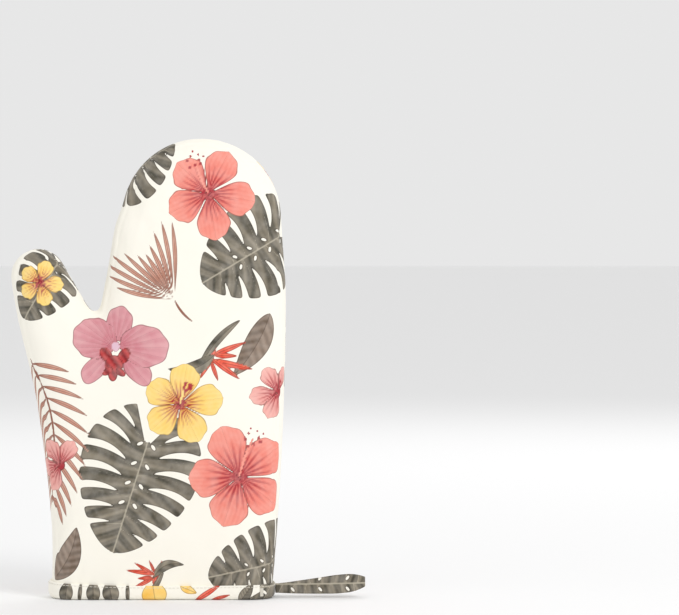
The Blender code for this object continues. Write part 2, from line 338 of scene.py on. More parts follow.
def soft_waves(obj, height):
    """Long, shallow waves, as a quilted cloth has where nothing holds it flat."""
    mesh = obj.data
    places = coordinates(mesh) / MM
    out = normals(mesh)
    x, y, z = places.T
    side = np.sign(y)
    inside = distance_inside(np.column_stack([x - CENTRE_X / MM, z]), mitten_outline(-24))
    turned_edge = 0.75 * np.exp(-(((inside - 5.5) / 1.1) ** 2)) - 0.5 * np.exp(-(((inside - 3.4) / 1.3) ** 2))
    wave = (
        np.sin(x / 19 + 1.3 * side) * np.sin(z / 31 + 0.6)
        + 0.6 * np.sin((x + z) / 14 + side) * np.sin(z / 23 - x / 40)
        + 0.35 * np.sin(z / 9.5 + np.sin(x / 13) * 1.7 + 2 * side)
    )
    held = np.clip(np.abs(y) / 12, 0, 1) * np.clip((z - 8) / 20, 0, 1)
    lift_out = height * wave * held - 0.45 * MM * turned_edge * np.clip((z - 12) / 15, 0, 1)
    set_coordinates(mesh, places * MM + out * lift_out[:, None])
    return obj


def pillow(obj):
    """Rounds the slab from its side seam up to its full depth, more so above the cuff."""
    places = coordinates(obj.data)
    inside = distance_inside((places[:, [0, 2]] - (CENTRE_X, 0)), mitten_outline(-24) * MM)
    reach = 27 * MM
    share = np.clip(inside / reach, 0, 1)
    slab_depth = 3 + 13 * np.sqrt(1 - (1 - np.clip(inside / (13 * MM), 0, 1)) ** 2)
    round_depth = 16 * np.sqrt(1 - (1 - share) ** 2) + 0.8
    above = np.clip((places[:, 2] - 10 * MM) / (55 * MM), 0, 1)
    above = above * above * (3 - 2 * above)
    depth = slab_depth + (np.minimum(round_depth, slab_depth) - slab_depth) * above
    places[:, 1] *= depth / slab_depth * fullness(places[:, 2]) / (16.5 * MM)
    set_coordinates(obj.data, places)


def make_body():
    """The mitt's padded form, closed all round, as the outer cloth shows it."""
    body = slab("body_form", 0.6 * MM, 16 * MM, 13 * MM)
    voxel = 3.9 * MM
    remesh(body, voxel)
    pillow(body)
    puff(body, 6 * MM)
    bodies = []
    for name in ("coarse_body", "fine_body"):
        modifier = body.modifiers.new("finer", "SUBSURF")
        modifier.levels = modifier.render_levels = 1
        apply_all(body)
        shaped = add_object(name, body.data.copy())
        soft_waves(shaped, 0.5 * MM)
        crease(shaped, 1.3 * MM, 1.5 * MM)
        bodies.append(shaped)
    bpy.data.objects.remove(body)
    return bodies


# ------------------------------------------------------------------ cutting the body into pieces
def cut_plane(bm, place, normal, clear_outer=False, clear_inner=False):
    parts = list(bm.verts) + list(bm.edges) + list(bm.faces)
    return bmesh.ops.bisect_plane(
        bm, geom=parts, dist=1e-6, plane_co=place, plane_no=normal,
        clear_outer=clear_outer, clear_inner=clear_inner,
    )


def drop_faces(bm, test):
    gone = [face for face in bm.faces if test(face.calc_center_median())]
    bmesh.ops.delete(bm, geom=gone, context="FACES")


def in_thumb(place):
    return place.x < CROTCH.x and (place - CROTCH).dot(THUMB_ALONG) > 0


def piece_of(body, name, side, part, offset, finish, floor_z):
    """One side of the body, back (-1) or palm (+1), main part or thumb, offset inwards from its face."""
    bm = bmesh.new()
    bm.from_mesh(body.data)
    if offset:
        for vertex, out in zip(bm.verts, [vertex.normal.copy() for vertex in bm.verts]):
            vertex.co -= out * offset
    cut_plane(bm, (0, 0, floor_z), (0, 0, 1), clear_inner=True)
    cut_plane(bm, (0, side * 0.15 * MM, 0), (0, side, 0), clear_inner=True)
    cut_plane(bm, CROTCH, THUMB_ALONG)
    drop_faces(bm, lambda place: in_thumb(place) != (part == "thumb"))
    return finished(name, bm, finish)


def bend(piece, part):
    """Bakes a piece's placement into its mesh, the same way for the thumb as for the main part."""
    if part == "thumb":
        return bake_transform(piece)
    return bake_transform(piece)


# ------------------------------------------------------------------ the painted print
class Layer:
    """One layer of a print: its colour, and in mm how far inside its shapes and from its lines a point is."""

    def __init__(self, count):
        self.edge = np.full(count, -40.0)
        self.line = np.full(count, 9.0)
        self.vein = np.full(count, 9.0)
        self.no_line = np.full(count, 9.0)
        self.colour = np.tile((0.8, 0.75, 0.65), (count, 1)).astype(float)

    def plain(self, colour):
        return np.tile(colour, (len(self.edge), 1))

    def stamp(self, inside, colour):
        """A small shape with no outline of its own."""
        self.paint(np.where(inside > 0, 1.0, -9), self.no_line, colour)

    def paint(self, edge, line, colour, vein=None):
        on_top = edge > np.minimum(self.edge, 0.0)
        self.edge = np.where(on_top, edge, self.edge)
        self.line = np.where(on_top, line, self.line)
        self.vein = np.where(on_top, 9.0 if vein is None else vein, self.vein)
        self.colour = np.where(on_top[:, None], colour, self.colour)


def toned(colours, amount):
    """A colour per point between two colours."""
    low, high = np.array(colours[0]), np.array(colours[1])
    return low + (high - low) * np.clip(amount, 0, 1)[:, None]


def blade(points, start, end, half_width, belly=0.45, bend_by=0.0, round_by=0.8):
    """A leaf or petal from start to end: (distance inside, distance across from its midrib, share along)."""
    start, end = np.array(start, float), np.array(end, float)
    along = end - start
    length = np.hypot(*along)
    offset = points - start
    t = offset @ along / length**2
    across = (offset[:, 1] * along[0] - offset[:, 0] * along[1]) / length
    inner = np.clip(t, 0, 1)
    across = across - bend_by * 4 * inner * (1 - inner)
    power = math.log(0.5) / math.log(belly)
    width = half_width * np.sin(np.pi * inner**power) ** round_by
    beyond = np.maximum(np.maximum(-t, t - 1), 0) * length
    edge = np.where(beyond > 0, -np.hypot(across, beyond), width - np.abs(across))
    return edge, across, inner


def soft_least(a, b, softness):
    """The lesser of two distances, with the corner between them rounded off."""
    least = np.minimum(a, b)
    return least - softness * np.log1p(np.exp(-np.minimum(np.abs(a - b) / softness, 30)))


def disc(points, centre, radii, turn=0.0):
    """An oval: distance inside, about right near its edge."""
    offset = points - np.array(centre, float)
    c, s = math.cos(turn), math.sin(turn)
    u = (offset[:, 0] * c + offset[:, 1] * s) / radii[0]
    v = (-offset[:, 0] * s + offset[:, 1] * c) / radii[1]
    r = np.hypot(u, v) + 1e-9
    slope = np.hypot(u / radii[0], v / radii[1]) / r + 1e-9
    return (1 - r) / slope


GREY_LEAF = ((0.065, 0.059, 0.042), (0.300, 0.260, 0.195))
BROWN_LEAF = ((0.150, 0.105, 0.075), (0.330, 0.250, 0.195))
DRY_PALM = ((0.500, 0.200, 0.135), (0.740, 0.410, 0.310))
CORAL = ((0.780, 0.150, 0.125), (0.930, 0.320, 0.250))
SOFT_PINK = ((0.760, 0.250, 0.230), (0.900, 0.460, 0.410))
YELLOW = ((0.960, 0.560, 0.090), (0.990, 0.720, 0.230))
ORCHID = ((0.560, 0.150, 0.190), (0.760, 0.370, 0.400))
FLAME = ((0.780, 0.070, 0.040), (0.900, 0.170, 0.100))
HEART_RED = (0.420, 0.020, 0.035)
LIP_RED = (0.230, 0.010, 0.016)
LIP_EDGE = (0.560, 0.060, 0.060)


def split_leaf(layer, points, base, tip, half_width, slots=6, flip=1):
    """A big split leaf: a round heart with curved slots from its midrib out through its margin."""
    base, tip = np.array(base, float), np.array(tip, float)
    axis = tip - base
    length = np.hypot(*axis)
    axis /= length
    cross = np.array([-axis[1], axis[0]]) * flip
    offset = points - base
    t = offset @ axis / length
    s = offset @ cross
    back = 0.26
    share = np.clip((t + back) / (1 + back), 0, 1)
    width = half_width * np.sin(np.pi * share**0.74) ** 0.56
    beyond = np.maximum(np.maximum(-back - t, t - 1), 0) * length
    edge = np.where(beyond > 0, -np.hypot(s, beyond), (width - np.abs(s)) * 0.85)
    sinus = 0.05 * length - np.abs(s) - t * length * 0.55
    edge = np.where(t < 0.04, np.minimum(edge, -sinus), edge)
    vein = np.where(t > -0.01, np.abs(s) - 0.25, 9)
    for side in (-1, 1):
        for i in range(slots):
            q = (i + 0.25 + 0.35 * (side > 0)) / slots
            lean = -0.42 + 1.15 * q
            bow = side * flip * half_width * 0.10
            root = base + axis * (-0.02 + 0.80 * q) * length
            heading = axis * lean + cross * side
            slot_root = root + heading * half_width * (0.27 - 0.06 * q)
            end = root + heading * half_width * 1.12
            slot, _, along = blade(points, slot_root, end, half_width * 0.052 + 0.35, 0.62, bow, 0.42)
            edge = soft_least(edge, -slot, 0.9)
            step = axis * 0.40 / slots * length
            _, across, along = blade(points, root + step, end + step, 3, 0.5, bow)
            drawn = (along > 0.01) & (along < 0.80)
            vein = np.minimum(vein, np.where(drawn, np.abs(across) + along * 0.35, 9))
        for i in range(4):
            hole = base + axis * length * (0.07 + 0.17 * i) + cross * side * half_width * 0.115
            turn = math.atan2(*axis[::-1]) + side * flip * 0.9
            edge = np.minimum(edge, -disc(points, hole, (half_width * 0.055, half_width * 0.026), turn))
    lean = -0.42 + 1.15 * np.clip((t + 0.02) / 0.8, 0, 1)
    lobe = (t + 0.02 - lean * np.abs(s) / length * 0.9) / 0.8 * slots - 0.25 - 0.35 * (s > 0)
    strokes = np.sin(lobe * 2 * np.pi * 2.6 + np.sin(s * 0.14) * 1.2)
    tone = 0.42 - 0.30 * np.cos(lobe * 2 * np.pi) + 0.16 * strokes + 0.10 * np.sin(s * 0.19 + t * 5)
    layer.paint(edge, layer.no_line, toned(GREY_LEAF, tone), vein)


def plain_leaf(layer, points, start, end, half_width, colours, bend_by=0.0, belly=0.42, ribs=7):
    """A simple leaf with a midrib and soft side veins."""
    edge, across, along = blade(points, start, end, half_width, belly, bend_by)
    rib = (along * 9 - np.abs(across) / half_width * 1.4) * ribs * 0.7
    tone = 0.5 + 0.3 * np.sin(rib) + 0.2 * np.sign(across)
    layer.paint(edge, across, toned(colours, tone))


def fan_palm(layer, points, origin, first, last, count, length, half_width):
    """Narrow leaflets spread from one point."""
    middle = math.radians((first + last) / 2)
    stem_end = np.array(origin) - 0.35 * length * np.array([math.cos(middle), math.sin(middle)])
    edge, across, along = blade(points, stem_end, origin, 0.9, 0.5, 1.5, 0.3)
    layer.paint(edge, across, toned(DRY_PALM, 0.2 * along))
    for i in range(count):
        share = i / (count - 1)
        angle = math.radians(first + (last - first) * share)
        reach = length * (0.84 + 0.16 * math.sin(share * 9 + 1))
        end = np.array(origin) + reach * np.array([math.cos(angle), math.sin(angle)])
        start = np.array(origin) + (0.04 + 0.05 * (i % 2)) * (end - origin)
        edge, across, along = blade(points, start, end, half_width, 0.62, (share - 0.5) * 3)
        tone = 0.25 + 0.6 * along + 0.1 * np.sign(across)
        layer.paint(edge, np.where(along > 0.3, across, 9), toned(DRY_PALM, tone))


def feather_palm(layer, points, keys, count, upper, lower, half_width):
    """A curved rib with leaflets along both its sides."""
    rib = smooth_line(keys, 12)
    lengths = np.concatenate([[0], np.cumsum(np.hypot(*np.diff(rib, axis=0).T))])
    for i in range(count):
        share = (i + 0.5) / count
        spot = np.array([np.interp(share * lengths[-1], lengths, rib[:, k]) for k in (0, 1)])
        ahead = np.array([np.interp(share * lengths[-1] + 2, lengths, rib[:, k]) for k in (0, 1)]) - spot
        heading = math.degrees(math.atan2(ahead[1], ahead[0]))
        size = math.sin(math.pi * (0.25 + 0.62 * share)) ** 0.5
        for turn, reach in ((upper[0], upper[1]), (lower[0], lower[1])):
            angle = math.radians(heading + turn * (1 - 0.45 * share))
            end = spot + reach * size * np.array([math.cos(angle), math.sin(angle)])
            edge, across, along = blade(points, spot, end, half_width, 0.45, 1.2 * np.sign(turn))
            layer.paint(edge, across, toned(DRY_PALM, 0.2 + 0.6 * along + 0.12 * np.sign(across)))
    for a, b in zip(rib[::2], rib[2::2]):
        edge, across, along = blade(points, a, b + (b - a) * 0.3, 0.75, 0.5, 0, 0.2)
        layer.paint(edge, layer.no_line, toned(DRY_PALM, np.zeros(len(points)) - 0.2))


def flower(layer, points, centre, petals, colours, heart, pistil=None, ruffle=0.5):
    """Petals as (angle, length, half width) round a dark heart, with fine lines running out."""
    centre = np.array(centre, float)
    offset = points - centre
    radius = np.hypot(*offset.T)
    angle = np.arctan2(offset[:, 1], offset[:, 0])
    core = disc(points, centre, (heart * 0.42, heart * 0.42))
    layer.paint(core, layer.no_line, layer.plain(HEART_RED))
    for turn, reach, half_width in petals:
        heading = math.radians(turn)
        end = centre + reach * np.array([math.cos(heading), math.sin(heading)])
        edge, across, along = blade(points, centre, end, half_width, 0.66, 0, 0.68)
        edge = edge + ruffle * np.sin(angle * 23 + turn) * np.clip(along * 2 - 0.6, 0, 1)
        streak = np.sin(across * 2.1 + np.sin(along * 7) * 0.8)
        tone = 0.15 + 0.85 * along + 0.12 * streak
        petal = toned(colours, tone)
        glow = np.clip(1.35 - radius / heart - 0.55 * np.sin(angle * 27 + np.sin(angle * 5)), 0, 1)
        petal = petal + (np.array(HEART_RED) - petal) * glow[:, None]
        layer.paint(edge, np.where(along > 0.1, across * 2.4 + 1.6 * np.sign(across), 9), petal)
    if pistil:
        stem_end = centre + np.array(pistil, float)
        stem, _, _ = blade(points, centre, stem_end, 0.9, 0.5, 0.8, 0.3)
        layer.stamp(stem, toned(colours, np.full(len(points), 1.5)))
        for i in range(9):
            heading = np.array([math.cos(i * 2.4), math.sin(i * 2.4)])
            spot = stem_end + 0.13 * np.hypot(*pistil) * heading * (1 + i * 0.12)
            dot = disc(points, spot, (1.1, 1.1))
            layer.stamp(dot, layer.plain(HEART_RED))


def orchid(layer, points, centre, size):
    """Two wide petals, three narrow ones behind and a dark lip."""
    centre = np.array(centre, float)

    def oval(at, radii, turn, tint=0.0):
        middle = centre + np.array(at) * size
        edge = disc(points, middle, (radii[0] * size, radii[1] * size), math.radians(turn))
        offset = points - centre
        angle = np.arctan2(offset[:, 1], offset[:, 0])
        radius = np.hypot(*offset.T) / size
        tone = 0.1 + 0.75 * radius + 0.14 * np.sin(angle * 30) + tint
        across = np.sin(angle * 15) * radius * size * 0.5
        layer.paint(edge + 0.4 * np.sin(angle * 19), across, toned(ORCHID, tone))

    oval((-0.44, -0.45), (0.36, 0.22), 48)
    oval((0.46, -0.48), (0.38, 0.23), -48)
    oval((0.07, 0.50), (0.37, 0.29), 84, 0.05)
    oval((-0.44, 0.19), (0.47, 0.43), -15)
    oval((0.60, 0.03), (0.52, 0.44), -12)
    for at, radii, turn in (
        ((-0.20, -0.16), (0.18, 0.12), 120),
        ((0.17, -0.18), (0.18, 0.12), 60),
        ((-0.04, -0.36), (0.19, 0.20), 0),
        ((-0.06, -0.55), (0.10, 0.16), 0),
        ((-0.17, -0.50), (0.12, 0.07), 35),
        ((0.10, -0.52), (0.12, 0.07), -35),
    ):
        middle = centre + np.array(at) * size
        edge = disc(points, middle, (radii[0] * size, radii[1] * size), math.radians(turn))
        offset = points - centre
        tone = 0.5 + 0.5 * np.sin(offset[:, 0] * 0.9 + offset[:, 1] * 0.7 + turn)
        layer.paint(edge, layer.no_line, toned((LIP_RED, LIP_EDGE), tone))
    edge = disc(points, centre + np.array((0.0, 0.02)) * size, (0.08 * size, 0.10 * size))
    layer.paint(np.where(edge > 0, edge + 1.2, -9), layer.no_line, layer.plain((0.75, 0.5, 0.6)))


def crane_flower(layer, points, centre, size, turn):
    """Flame spikes that spring from one side of a long grey sheath."""
    c, s = math.cos(math.radians(turn)), math.sin(math.radians(turn))

    def at(u, v):
        return (centre[0] + size * (u * c - v * s), centre[1] + size * (u * s + v * c))

    for start, end, width in (
        ((0.22, 0.02), (-0.62, 0.46), 0.070), ((0.18, 0.00), (-0.30, 0.60), 0.060),
        ((0.14, -0.06), (-0.62, -0.14), 0.062), ((0.10, -0.04), (-0.38, 0.10), 0.055),
        ((0.02, -0.22), (0.52, 0.36), 0.075), ((0.20, 0.05), (0.16, 0.52), 0.045),
    ):
        plain_leaf(layer, points, at(*start), at(*end), width * size, FLAME, ribs=3)
    plain_leaf(layer, points, at(-0.62, -0.62), at(0.62, 0.32), 0.085 * size, GREY_LEAF, bend_by=-4, ribs=2)
    plain_leaf(layer, points, at(0.10, -0.05), at(1.12, -0.02), 0.150 * size, GREY_LEAF, bend_by=5, ribs=3)


def back_print(points):
    """The print on the back of the hand."""
    leaves, blooms, top = (Layer(len(points)) for _ in range(3))
    split_leaf(leaves, points, (90, 262), (30, 226), 36, slots=6)
    split_leaf(leaves, points, (-8, 116), (-34, 34), 43, slots=7)
    split_leaf(leaves, points, (100, 30), (34, 16), 30, slots=6, flip=-1)
    split_leaf(leaves, points, (-70, 246), (-98, 200), 24, slots=5)
    split_leaf(leaves, points, (-34, 300), (8, 330), 26, slots=5, flip=-1)
    fan_palm(leaves, points, (10, 214), 92, 168, 11, 58, 1.6)
    rib = [(-95, 172), (-80, 138), (-76, 104), (-80, 70)]
    feather_palm(leaves, points, rib, 12, (54, 34), (-54, 34), 1.8)
    plain_leaf(leaves, points, (78, 204), (52, 160), 9, BROWN_LEAF, bend_by=3)
    plain_leaf(leaves, points, (-78, 14), (-60, 52), 9, BROWN_LEAF, bend_by=-4, belly=0.38)
    crane_flower(leaves, points, (42, 174), 34, 195)
    crane_flower(leaves, points, (-8, 16), 24, 20)
    petals = [(80, 29, 11), (150, 27, 10.5), (8, 31, 11.5), (222, 28, 11), (296, 30, 11)]
    flower(blooms, points, (14, 140), petals, YELLOW, 10, (5, 12))
    petals = [(70, 17, 6), (142, 16, 6), (-4, 17, 6), (214, 16, 6), (286, 17, 6)]
    flower(blooms, points, (-86, 226), petals, YELLOW, 7)
    orchid(top, points, (-32, 180), 34)
    petals = [(64, 33, 12), (136, 31, 12), (-10, 34, 12.5), (208, 31, 12), (280, 34, 12)]
    flower(top, points, (34, 290), petals, CORAL, 12, (-10, 24))
    petals = [(110, 38, 14), (182, 36, 14), (36, 37, 14), (252, 37, 14), (322, 36, 14)]
    flower(top, points, (56, 88), petals, CORAL, 14, (10, 28))
    petals = [(120, 20, 6.5), (190, 21, 7), (248, 20, 6.5), (60, 20, 6.5)]
    flower(top, points, (84, 148), petals, SOFT_PINK, 9)
    flower(top, points, (-72, 96), petals, SOFT_PINK, 9)
    return {"leaves": leaves, "blooms": blooms, "top": top}


def palm_print(points):
    """The print on the palm, round the grips."""
    leaves, blooms, top = (Layer(len(points)) for _ in range(3))
    split_leaf(leaves, points, (-78, 262), (-102, 205), 40, slots=4)
    split_leaf(leaves, points, (86, 215), (54, 130), 44, slots=5)
    split_leaf(leaves, points, (-30, 120), (-70, 60), 42, slots=5, flip=-1)
    split_leaf(leaves, points, (-20, 345), (30, 300), 34, slots=4)
    feather_palm(leaves, points, [(60, 118), (30, 90), (0, 55), (-20, 20)], 15, (62, 38), (-52, 36), 2.1)
    fan_palm(leaves, points, (-100, 120), 70, -10, 9, 44, 2.2)
    plain_leaf(leaves, points, (20, 12), (34, 60), 10, BROWN_LEAF, bend_by=4)
    plain_leaf(leaves, points, (-40, 240), (-44, 205), 8, BROWN_LEAF, bend_by=2)
    crane_flower(leaves, points, (-60, 22), 34, 30)
    petals = [(96, 27, 11), (172, 26, 11), (20, 27, 11), (240, 27, 10), (306, 28, 11)]
    flower(blooms, points, (-64, 122), petals, YELLOW, 9, (4, 12))
    petals = [(turn, 20, 7) for turn in (96, 172, 20, 240, 306)]
    flower(blooms, points, (78, 300), petals, YELLOW, 7, (4, 9))
    orchid(top, points, (4, 44), 34)
    petals = [(86, 30, 11), (158, 28, 11), (14, 28, 11), (232, 28, 11), (304, 30, 11)]
    flower(top, points, (70, 62), petals, CORAL, 12, (3, 22))
    petals = [(turn, 18, 7) for turn in (90, 160, 20, 236, 306)]
    flower(top, points, (-34, 306), petals, SOFT_PINK, 8)
    petals = [(60, 18, 6), (130, 17, 6), (-10, 18, 6), (236, 18, 7), (306, 18, 7)]
    flower(top, points, (-92, 66), petals, SOFT_PINK, 8)
    return {"leaves": leaves, "blooms": blooms, "top": top}


def tape_print(points):
    """The offcut of the same print on the binding and the loop."""
    leaves, blooms, top = (Layer(len(points)) for _ in range(3))
    for start, end, slant in ((-74, -64, 3), (-60, -57, 2), (-53, -43, 0), (-40, -28, -3), (-25, -22, 0)):
        middle = (start + end) / 2
        top_end = (middle + slant, 14)
        plain_leaf(leaves, points, top_end, (middle, -4), (end - start) / 2, GREY_LEAF, belly=0.5, ribs=3)
    plain_leaf(leaves, points, (56, -2), (66, 12), 4, GREY_LEAF)
    plain_leaf(blooms, points, (-6, 14), (-3, -6), 9, YELLOW, belly=0.5, ribs=2)
    plain_leaf(blooms, points, (14, 10), (26, 5), 3, YELLOW, ribs=2)
    plain_leaf(top, points, (24, -1), (44, 12), 2, FLAME)
    plain_leaf(top, points, (36, 0), (50, 4), 1.4, FLAME)
    split_leaf(leaves, points, (66, 9), (182, 11), 34, slots=11)
    return {"leaves": leaves, "blooms": blooms, "top": top}


SEAM_STRIP = 4 * MM  # half the strip beside the seam where the print runs straight on
WRAP = 0.6  # how far the print follows the cloth round the sides


def print_on(piece, motifs, wrap=False):
    """Stores a print's layers on a piece, laid out in mm from the cuff's centre."""
    mesh = piece.data
    places = coordinates(mesh)
    points = np.column_stack([places[:, 0] - CENTRE_X, places[:, 2]]) / MM
    if wrap:
        fall = np.clip(fullness(places[:, 2]) - np.abs(places[:, 1]), 0, 1) / MM
        level = normals(mesh)[:, [0, 2]]
        tilt = np.clip(np.linalg.norm(level, axis=1), 0, 1)
        by_seam = np.exp(-((places[:, 1] / SEAM_STRIP) ** 4))
        outward = level / np.maximum(tilt, 0.2)[:, None]
        points = points + outward * (fall * np.maximum(tilt**6, by_seam) * WRAP)[:, None]
    for name, layer in motifs(points).items():
        store(mesh, f"{name}_edge", np.clip(layer.edge, -8, 8))
        store(mesh, f"{name}_line", np.clip(layer.line, -8, 8))
        store(mesh, f"{name}_vein", np.clip(layer.vein, -8, 8))
        store(mesh, f"{name}_colour", layer.colour, "FLOAT_COLOR")


# ------------------------------------------------------------------ materials
class Shade:
    """Short calls for building one material's nodes."""

    def __init__(self, name, colour, roughness, specular=0.25):
        self.material = bpy.data.materials.new(name)
        self.material.use_nodes = True
        self.nodes = self.material.node_tree.nodes
        self.links = self.material.node_tree.links
        self.shader = self.nodes["Principled BSDF"]
        self.shader.inputs["Base Color"].default_value = (*colour, 1)
        self.shader.inputs["Roughness"].default_value = roughness
        self.shader.inputs["Specular IOR Level"].default_value = specular

    def node(self, kind, **settings):
        made = self.nodes.new(kind)
        for key, value in settings.items():
            setattr(made, key, value)
        return made

    def feed(self, socket, value):
        if isinstance(value, bpy.types.NodeSocket):
            self.links.new(value, socket)
        else:
            socket.default_value = value

    def colour_between(self, factor, a, b):
        self.feed(self.shader.inputs["Base Color"], self.mix(factor, (*a, 1), (*b, 1)))

    def attribute(self, name, output="Fac"):
        return self.node("ShaderNodeAttribute", attribute_name=name).outputs[output]

    def place(self):
        return self.node("ShaderNodeTexCoord").outputs["Object"]

    def math(self, operation, a, b=0.0):
        made = self.node("ShaderNodeMath", operation=operation)
        self.feed(made.inputs[0], a)
        self.feed(made.inputs[1], b)
        return made.outputs[0]

    def ramp(self, value, low, high, to_low=0.0, to_high=1.0):
        made = self.node("ShaderNodeMapRange")
        self.feed(made.inputs["Value"], value)
        self.feed(made.inputs["From Min"], low)
        self.feed(made.inputs["From Max"], high)
        self.feed(made.inputs["To Min"], to_low)
        self.feed(made.inputs["To Max"], to_high)
        return made.outputs["Result"]

    def mix(self, factor, a, b, blend_type="MIX"):
        made = self.node("ShaderNodeMix", data_type="RGBA", blend_type=blend_type)
        self.feed(made.inputs["Factor"], factor)
        self.feed(made.inputs[6], a)
        self.feed(made.inputs[7], b)
        return made.outputs[2]

    def noise(self, scale, detail=2.0, vector=None, roughness=0.5):
        made = self.node("ShaderNodeTexNoise")
        self.feed(made.inputs["Vector"], vector or self.place())
        self.feed(made.inputs["Scale"], scale)
        self.feed(made.inputs["Detail"], detail)
        self.feed(made.inputs["Roughness"], roughness)
        return made.outputs["Fac"]

    def waves(self, scale, direction, vector=None, distortion=0.0):
        made = self.node("ShaderNodeTexWave", bands_direction=direction)
        self.feed(made.inputs["Vector"], vector or self.place())
        self.feed(made.inputs["Scale"], scale)
        self.feed(made.inputs["Distortion"], distortion)
        return made.outputs["Fac"]

    def bump(self, height, strength, distance):
        made = self.node("ShaderNodeBump")
        self.feed(made.inputs["Height"], height)
        made.inputs["Strength"].default_value = strength
        made.inputs["Distance"].default_value = distance
        self.links.new(made.outputs["Normal"], self.shader.inputs["Normal"])

    def weave(self, pitch):
        """Crossed threads, pitch apart."""
        scale = 0.05 / pitch * math.pi / 5
        across = self.waves(scale * 20 / math.pi * 2.0, "X", distortion=0.4)
        up = self.waves(scale * 20 / math.pi * 2.0, "Z", distortion=0.4)
        return self.math("MULTIPLY", across, up)


def printed_canvas():
    """Cream cotton with the painted print: each layer has a fill, a fine dark outline and drawn veins."""
    shade = Shade("printed_canvas", (0.93, 0.90, 0.80), 0.82)
    mottle = shade.noise(26.0, 3.0)
    wash = shade.noise(150.0, 4.0)
    ground = shade.mix(mottle, (0.985, 0.955, 0.865, 1), (0.960, 0.925, 0.825, 1))
    colour = ground
    for name in ("leaves", "blooms", "top"):
        edge = shade.attribute(f"{name}_edge")
        line = shade.attribute(f"{name}_line")
        paint = shade.attribute(f"{name}_colour", "Color")
        faded = shade.mix(0.4, paint, (1, 0.95, 0.88, 1))
        paint = shade.mix(shade.ramp(wash, 0.35, 0.70, 0.0, 0.30), paint, faded)
        ink = shade.mix(1.0, paint, (0.42, 0.38, 0.36, 1), "MULTIPLY")
        drawn = shade.ramp(shade.math("ABSOLUTE", line), 0.18, 0.42, 0.62, 0.0)
        outline = shade.ramp(edge, 0.35, 0.75, 0.8, 0.0)
        paint = shade.mix(shade.math("MAXIMUM", drawn, outline), paint, ink)
        vein = shade.ramp(shade.attribute(f"{name}_vein"), 0.10, 0.45, 0.75, 0.0)
        paint = shade.mix(vein, paint, (0.52, 0.47, 0.37, 1))
        colour = shade.mix(shade.ramp(edge, -0.15, 0.15), colour, paint)
    shade.feed(shade.shader.inputs["Base Color"], colour)
    fuzz = shade.noise(2400.0, 2.0)
    shade.feed(shade.shader.inputs["Roughness"], shade.ramp(fuzz, 0.2, 0.8, 0.74, 0.92))
    shade.shader.inputs["Sheen Weight"].default_value = 0.12
    shade.shader.inputs["Sheen Roughness"].default_value = 0.5
    shade.bump(shade.math("ADD", shade.weave(0.0009), shade.math("MULTIPLY", fuzz, 0.5)), 0.22, 0.0003)
    return shade.material


def lining_cloth():
    """Plain cotton with a diamond of quilting lines, their grooves darkened with painted shade."""
    shade = Shade("lining_cloth", (0.80, 0.78, 0.73), 0.9)
    mottle = shade.noise(60.0, 3.0)
    colour = shade.mix(mottle, (0.84, 0.82, 0.77, 1), (0.74, 0.72, 0.67, 1))
    turned = shade.node("ShaderNodeMapping")
    shade.feed(turned.inputs["Vector"], shade.place())
    turned.inputs["Rotation"].default_value = (0, math.pi / 4, 0)
    lines = shade.math(
        "MAXIMUM",
        shade.waves(12.0, "X", turned.outputs["Vector"]),
        shade.waves(12.0, "Z", turned.outputs["Vector"]),
    )
    groove = shade.ramp(lines, 0.90, 1.0)
    # Painted shade: the quilting grooves, which the bump sinks, are darkened.
    shade.feed(shade.shader.inputs["Base Color"], shade.mix(groove, colour, (0.55, 0.53, 0.48, 1)))
    shade.shader.inputs["Sheen Weight"].default_value = 0.1
    shade.bump(shade.math("SUBTRACT", shade.weave(0.0008), groove), 0.4, 0.0008)
    return shade.material


def wadding():
    """Lofty white fibres."""
    shade = Shade("wadding", (0.90, 0.89, 0.86), 0.95)
    fibres = shade.noise(420.0, 6.0, roughness=0.7)
    shade.colour_between(fibres, (0.93, 0.92, 0.89), (0.78, 0.77, 0.74))
    shade.shader.inputs["Sheen Weight"].default_value = 0.2
    shade.bump(fibres, 0.6, 0.0012)
    return shade.material


def sewing_thread(name, colour):
    """Twisted cotton thread."""
    shade = Shade(name, colour, 0.7)
    twist = shade.waves(900.0, "DIAGONAL")
    darker = tuple(value * 0.8 for value in colour)
    shade.feed(shade.shader.inputs["Base Color"], shade.mix(twist, (*colour, 1), (*darker, 1)))
    shade.shader.inputs["Sheen Weight"].default_value = 0.1
    shade.bump(twist, 0.5, 0.0002)
    return shade.material


def grip_silicone():
    """Dark grey silicone, with a painted highlight on the raised honeycomb's tops and painted shade on its
    cell walls.
    """
    shade = Shade("grip_silicone", (0.13, 0.135, 0.145), 0.5, 0.4)
    ridge = shade.attribute("ridge")
    cloud = shade.noise(45.0, 3.0)
    dust = shade.noise(1800.0, 2.0)
    cell = shade.mix(cloud, (0.132, 0.134, 0.138, 1), (0.165, 0.167, 0.172, 1))
    # Painted shade: the walls of the cells, where the ridge rises, are darkened.
    wall = shade.mix(shade.ramp(ridge, 0.02, 0.35), cell, (0.070, 0.072, 0.077, 1))
    # Painted highlight: the tops of the ridges are lightened.
    top = shade.mix(shade.ramp(ridge, 0.45, 0.85), wall, (0.290, 0.294, 0.304, 1))
    shade.feed(shade.shader.inputs["Base Color"], top)
    shade.feed(shade.shader.inputs["Roughness"], shade.ramp(dust, 0.2, 0.8, 0.42, 0.60))
    shade.bump(dust, 0.15, 0.0002)
    return shade.material


